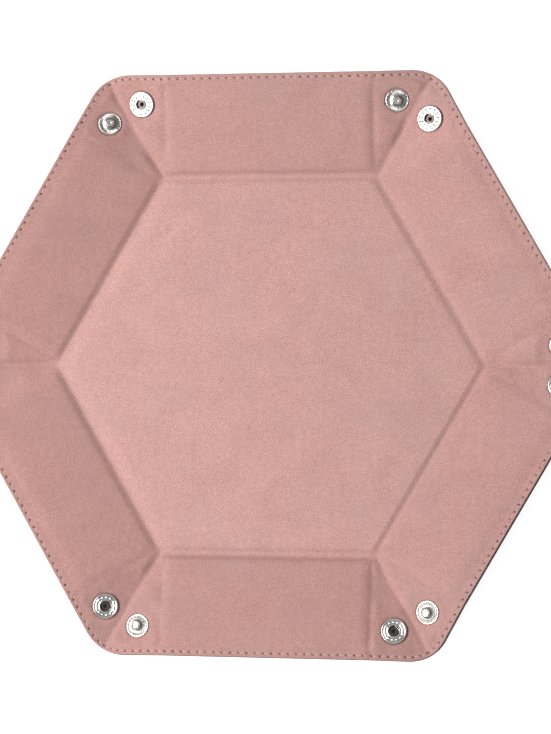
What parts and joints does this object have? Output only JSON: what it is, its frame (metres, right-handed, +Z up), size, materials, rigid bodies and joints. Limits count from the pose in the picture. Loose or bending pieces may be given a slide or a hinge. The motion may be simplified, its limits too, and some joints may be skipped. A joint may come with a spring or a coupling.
{
  "type": "folding dice tray",
  "caption": "Hexagonal folding dice tray: velvet-lined base and walls with board stiffeners, soft corner flaps that fold together and snap so that the walls stand up.",
  "frame": {"origin": "centre of the base's underside, on the table", "axes": "+Z up out of the tray; +Y towards wall 1; +X towards the corner between walls 2 and 3"},
  "size_m": [0.2822, 0.249, 0.0111],
  "materials": {
    "velvet_lining": "dusty pink short-pile velvet, slight nap variation",
    "outer_leather": "black synthetic leather, fine pebble grain, semi-matte",
    "stiffener_board": "grey wood-fibre board, raw",
    "nickel_snap": "polished nickel plate on pressed metal"
  },
  "bodies": {
    "base": {"base_leather": "outer_leather", "base_board": "stiffener_board", "base_lining": "velvet_lining"},
    "wall_1": {"wall_1_leather": "outer_leather", "wall_1_board": "stiffener_board", "wall_1_lining": "velvet_lining"},
    "wall_2": {"wall_2_leather": "outer_leather", "wall_2_board": "stiffener_board", "wall_2_lining": "velvet_lining"},
    "wall_3": {"wall_3_leather": "outer_leather", "wall_3_board": "stiffener_board", "wall_3_lining": "velvet_lining"},
    "wall_4": {"wall_4_leather": "outer_leather", "wall_4_board": "stiffener_board", "wall_4_lining": "velvet_lining"},
    "wall_5": {"wall_5_leather": "outer_leather", "wall_5_board": "stiffener_board", "wall_5_lining": "velvet_lining"},
    "wall_6": {"wall_6_leather": "outer_leather", "wall_6_board": "stiffener_board", "wall_6_lining": "velvet_lining"},
    "corner_1_stud_flap": {"corner_1_stud_flap_leather": "outer_leather", "corner_1_stud_flap_lining": "velvet_lining", "corner_1_snap_stud": "nickel_snap"},
    "corner_1_socket_flap": {"corner_1_socket_flap_leather": "outer_leather", "corner_1_socket_flap_lining": "velvet_lining", "corner_1_snap_socket": "nickel_snap"},
    "corner_2_stud_flap": {"corner_2_stud_flap_leather": "outer_leather", "corner_2_stud_flap_lining": "velvet_lining", "corner_2_snap_stud": "nickel_snap"},
    "corner_2_socket_flap": {"corner_2_socket_flap_leather": "outer_leather", "corner_2_socket_flap_lining": "velvet_lining", "corner_2_snap_socket": "nickel_snap"},
    "corner_3_stud_flap": {"corner_3_stud_flap_leather": "outer_leather", "corner_3_stud_flap_lining": "velvet_lining", "corner_3_snap_stud": "nickel_snap"},
    "corner_3_socket_flap": {"corner_3_socket_flap_leather": "outer_leather", "corner_3_socket_flap_lining": "velvet_lining", "corner_3_snap_socket": "nickel_snap"},
    "corner_4_stud_flap": {"corner_4_stud_flap_leather": "outer_leather", "corner_4_stud_flap_lining": "velvet_lining", "corner_4_snap_stud": "nickel_snap"},
    "corner_4_socket_flap": {"corner_4_socket_flap_leather": "outer_leather", "corner_4_socket_flap_lining": "velvet_lining", "corner_4_snap_socket": "nickel_snap"},
    "corner_5_stud_flap": {"corner_5_stud_flap_leather": "outer_leather", "corner_5_stud_flap_lining": "velvet_lining", "corner_5_snap_stud": "nickel_snap"},
    "corner_5_socket_flap": {"corner_5_socket_flap_leather": "outer_leather", "corner_5_socket_flap_lining": "velvet_lining", "corner_5_snap_socket": "nickel_snap"},
    "corner_6_stud_flap": {"corner_6_stud_flap_leather": "outer_leather", "corner_6_stud_flap_lining": "velvet_lining", "corner_6_snap_stud": "nickel_snap"},
    "corner_6_socket_flap": {"corner_6_socket_flap_leather": "outer_leather", "corner_6_socket_flap_lining": "velvet_lining", "corner_6_snap_socket": "nickel_snap"}
  },
  "joints": [
    {"name": "wall_1_fold", "type": "hinge", "parent": "base", "child": "wall_1", "pos_m": [0, 0.08, 0.0005], "axis": [1, 0, 0], "range_deg": [-12, 66], "stiffness_Nm_per_rad": 0.15},
    {"name": "wall_2_fold", "type": "hinge", "parent": "base", "child": "wall_2", "pos_m": [0.06928, 0.04, 0.0005], "axis": [0.5, -0.866, 0], "range_deg": [-12, 66], "stiffness_Nm_per_rad": 0.15},
    {"name": "wall_3_fold", "type": "hinge", "parent": "base", "child": "wall_3", "pos_m": [0.06928, -0.04, 0.0005], "axis": [-0.5, -0.866, 0], "range_deg": [-12, 66], "stiffness_Nm_per_rad": 0.15},
    {"name": "wall_4_fold", "type": "hinge", "parent": "base", "child": "wall_4", "pos_m": [0, -0.08, 0.0005], "axis": [-1, 0, 0], "range_deg": [-12, 66], "stiffness_Nm_per_rad": 0.15},
    {"name": "wall_5_fold", "type": "hinge", "parent": "base", "child": "wall_5", "pos_m": [-0.06928, -0.04, 0.0005], "axis": [-0.5, 0.866, 0], "range_deg": [-12, 66], "stiffness_Nm_per_rad": 0.15},
    {"name": "wall_6_fold", "type": "hinge", "parent": "base", "child": "wall_6", "pos_m": [-0.06928, 0.04, 0.0005], "axis": [0.5, 0.866, 0], "range_deg": [-12, 66], "stiffness_Nm_per_rad": 0.15},
    {"name": "corner_1_stud_flap_fold", "type": "hinge", "parent": "wall_1", "child": "corner_1_stud_flap", "pos_m": [0.04433, 0.10152, 0.00507], "axis": [0, 0.9781, 0.2079], "range_deg": [-7.87, 43.19], "stiffness_Nm_per_rad": 0.02},
    {"name": "corner_1_socket_flap_fold", "type": "hinge", "parent": "wall_2", "child": "corner_1_socket_flap", "pos_m": [0.06575, 0.08915, 0.00507], "axis": [-0.8471, -0.4891, -0.2079], "range_deg": [-7.87, 43.19], "stiffness_Nm_per_rad": 0.02},
    {"name": "corner_2_stud_flap_fold", "type": "hinge", "parent": "wall_2", "child": "corner_2_stud_flap", "pos_m": [0.11009, 0.01236, 0.00507], "axis": [0.8471, 0.4891, 0.2079], "range_deg": [-7.87, 43.19], "stiffness_Nm_per_rad": 0.02},
    {"name": "corner_2_socket_flap_fold", "type": "hinge", "parent": "wall_3", "child": "corner_2_socket_flap", "pos_m": [0.11009, -0.01236, 0.00507], "axis": [-0.8471, 0.4891, -0.2079], "range_deg": [-7.87, 43.19], "stiffness_Nm_per_rad": 0.02},
    {"name": "corner_3_stud_flap_fold", "type": "hinge", "parent": "wall_3", "child": "corner_3_stud_flap", "pos_m": [0.06575, -0.08915, 0.00507], "axis": [0.8471, -0.4891, 0.2079], "range_deg": [-7.87, 43.19], "stiffness_Nm_per_rad": 0.02},
    {"name": "corner_3_socket_flap_fold", "type": "hinge", "parent": "wall_4", "child": "corner_3_socket_flap", "pos_m": [0.04433, -0.10152, 0.00507], "axis": [0, 0.9781, -0.2079], "range_deg": [-7.87, 43.19], "stiffness_Nm_per_rad": 0.02},
    {"name": "corner_4_stud_flap_fold", "type": "hinge", "parent": "wall_4", "child": "corner_4_stud_flap", "pos_m": [-0.04433, -0.10152, 0.00507], "axis": [0, -0.9781, 0.2079], "range_deg": [-7.87, 43.19], "stiffness_Nm_per_rad": 0.02},
    {"name": "corner_4_socket_flap_fold", "type": "hinge", "parent": "wall_5", "child": "corner_4_socket_flap", "pos_m": [-0.06575, -0.08915, 0.00507], "axis": [0.8471, 0.4891, -0.2079], "range_deg": [-7.87, 43.19], "stiffness_Nm_per_rad": 0.02},
    {"name": "corner_5_stud_flap_fold", "type": "hinge", "parent": "wall_5", "child": "corner_5_stud_flap", "pos_m": [-0.11009, -0.01236, 0.00507], "axis": [-0.8471, -0.4891, 0.2079], "range_deg": [-7.87, 43.19], "stiffness_Nm_per_rad": 0.02},
    {"name": "corner_5_socket_flap_fold", "type": "hinge", "parent": "wall_6", "child": "corner_5_socket_flap", "pos_m": [-0.11009, 0.01236, 0.00507], "axis": [0.8471, -0.4891, -0.2079], "range_deg": [-7.87, 43.19], "stiffness_Nm_per_rad": 0.02},
    {"name": "corner_6_stud_flap_fold", "type": "hinge", "parent": "wall_6", "child": "corner_6_stud_flap", "pos_m": [-0.06575, 0.08915, 0.00507], "axis": [-0.8471, 0.4891, 0.2079], "range_deg": [-7.87, 43.19], "stiffness_Nm_per_rad": 0.02},
    {"name": "corner_6_socket_flap_fold", "type": "hinge", "parent": "wall_1", "child": "corner_6_socket_flap", "pos_m": [-0.04433, 0.10152, 0.00507], "axis": [0, -0.9781, -0.2079], "range_deg": [-7.87, 43.19], "stiffness_Nm_per_rad": 0.02}
  ],
  "couplings": [
    {"joint": "wall_2_fold", "follows": "wall_1_fold", "ratio": 1},
    {"joint": "wall_3_fold", "follows": "wall_1_fold", "ratio": 1},
    {"joint": "wall_4_fold", "follows": "wall_1_fold", "ratio": 1},
    {"joint": "wall_5_fold", "follows": "wall_1_fold", "ratio": 1},
    {"joint": "wall_6_fold", "follows": "wall_1_fold", "ratio": 1},
    {"joint": "corner_1_stud_flap_fold", "follows": "wall_1_fold", "ratio": 0.65409},
    {"joint": "corner_1_socket_flap_fold", "follows": "wall_1_fold", "ratio": 0.65409},
    {"joint": "corner_2_stud_flap_fold", "follows": "wall_1_fold", "ratio": 0.65409},
    {"joint": "corner_2_socket_flap_fold", "follows": "wall_1_fold", "ratio": 0.65409},
    {"joint": "corner_3_stud_flap_fold", "follows": "wall_1_fold", "ratio": 0.65409},
    {"joint": "corner_3_socket_flap_fold", "follows": "wall_1_fold", "ratio": 0.65409},
    {"joint": "corner_4_stud_flap_fold", "follows": "wall_1_fold", "ratio": 0.65409},
    {"joint": "corner_4_socket_flap_fold", "follows": "wall_1_fold", "ratio": 0.65409},
    {"joint": "corner_5_stud_flap_fold", "follows": "wall_1_fold", "ratio": 0.65409},
    {"joint": "corner_5_socket_flap_fold", "follows": "wall_1_fold", "ratio": 0.65409},
    {"joint": "corner_6_stud_flap_fold", "follows": "wall_1_fold", "ratio": 0.65409},
    {"joint": "corner_6_socket_flap_fold", "follows": "wall_1_fold", "ratio": 0.65409}
  ]
}
